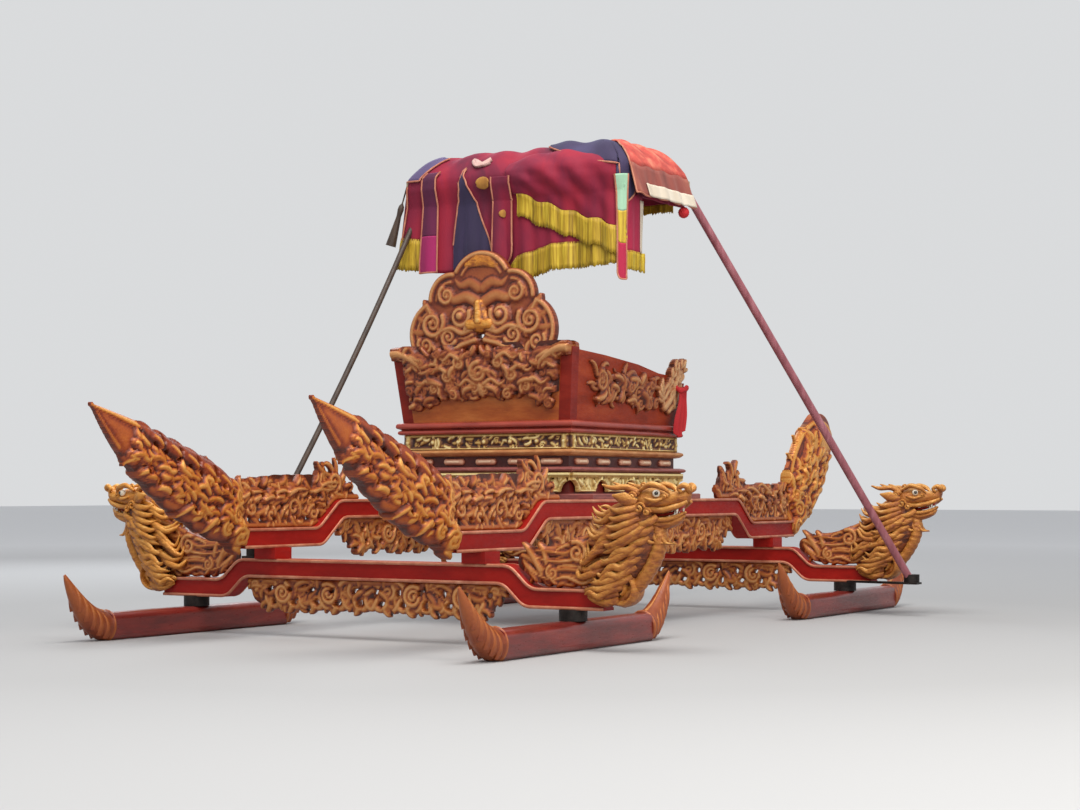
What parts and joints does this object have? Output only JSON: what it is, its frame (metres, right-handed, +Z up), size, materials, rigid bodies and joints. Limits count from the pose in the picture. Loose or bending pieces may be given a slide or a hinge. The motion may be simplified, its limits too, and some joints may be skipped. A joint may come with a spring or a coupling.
{
  "type": "ceremonial palanquin",
  "caption": "Carved and gilded palanquin: stepped beams with horned and dragon-head ends, a tiered throne under a cloth canopy, and short carrying poles that swivel.",
  "frame": {"origin": "middle of the footprint, on the ground under the four carrying poles", "axes": "+Y forward, the way it is carried and the way the throne faces; +X right; +Z up"},
  "size_m": [2.332, 3.621, 1.722],
  "materials": {
    "red_lacquer": "glossy red lacquer",
    "carved_wood": "orange-brown lacquered carving, gilded on its high points",
    "gold_leaf": "gilded carving",
    "pole_lacquer": "mauve-red lacquer",
    "dark_wood": "dark stained wood",
    "iron": "blackened iron",
    "velvet": "crimson velvet with yellow fringe"
  },
  "bodies": {
    "carriage": {"main_beam_left": "red_lacquer", "main_beam_right": "red_lacquer", "cross_beam_front": "red_lacquer", "cross_beam_rear": "red_lacquer", "beam_blocks": "dark_wood", "rear_horn_left": "carved_wood", "main_crest_rear_left": "carved_wood", "dragon_rear_left": "gold_leaf", "rear_horn_right": "carved_wood", "main_crest_rear_right": "carved_wood", "dragon_rear_right": "gold_leaf", "front_horn_left": "carved_wood", "main_crest_front_left": "carved_wood", "dragon_front_left": "gold_leaf", "front_horn_right": "carved_wood", "main_crest_front_right": "carved_wood", "dragon_front_right": "gold_leaf", "cross_crests_rear": "carved_wood", "cross_fret_rear": "carved_wood", "cross_crests_front": "carved_wood", "cross_fret_front": "carved_wood", "main_fret_left": "carved_wood", "throne_side_left": "carved_wood", "main_fret_right": "carved_wood", "throne_side_right": "carved_wood", "base_sill": "red_lacquer", "base_waist": "red_lacquer", "seat_board": "red_lacquer", "seat_deck": "red_lacquer", "throne_posts": "red_lacquer", "base_ledge": "red_lacquer", "base_top_ledge": "red_lacquer", "base_apron": "gold_leaf", "base_frieze": "gold_leaf", "base_posts": "gold_leaf", "arm_terminals": "gold_leaf", "throne_back": "carved_wood", "backrest": "carved_wood", "canopy_pole_front": "pole_lacquer", "canopy_pole_rear": "dark_wood", "canopy_frame": "dark_wood", "pole_sockets": "iron", "canopy_cloth": "velvet", "arm_sash": "velvet"},
    "pole_rear_left": {"carrying_pole_rear_left": "pole_lacquer", "pole_tips_rear_left": "carved_wood", "swivel_block_rear_left": "iron"},
    "pole_rear_right": {"carrying_pole_rear_right": "pole_lacquer", "pole_tips_rear_right": "carved_wood", "swivel_block_rear_right": "iron"},
    "pole_front_left": {"carrying_pole_front_left": "pole_lacquer", "pole_tips_front_left": "carved_wood", "swivel_block_front_left": "iron"},
    "pole_front_right": {"carrying_pole_front_right": "pole_lacquer", "pole_tips_front_right": "carved_wood", "swivel_block_front_right": "iron"}
  },
  "joints": [
    {"name": "swivel_rear_left", "type": "hinge", "parent": "carriage", "child": "pole_rear_left", "pos_m": [-0.756, -0.948, 0.125], "axis": [0, 0, 1], "range_deg": [-25, 25]},
    {"name": "swivel_rear_right", "type": "hinge", "parent": "carriage", "child": "pole_rear_right", "pos_m": [0.756, -0.948, 0.125], "axis": [0, 0, 1], "range_deg": [-25, 25]},
    {"name": "swivel_front_left", "type": "hinge", "parent": "carriage", "child": "pole_front_left", "pos_m": [-0.756, 1.182, 0.125], "axis": [0, 0, 1], "range_deg": [-25, 25]},
    {"name": "swivel_front_right", "type": "hinge", "parent": "carriage", "child": "pole_front_right", "pos_m": [0.756, 1.182, 0.125], "axis": [0, 0, 1], "range_deg": [-25, 25]}
  ]
}
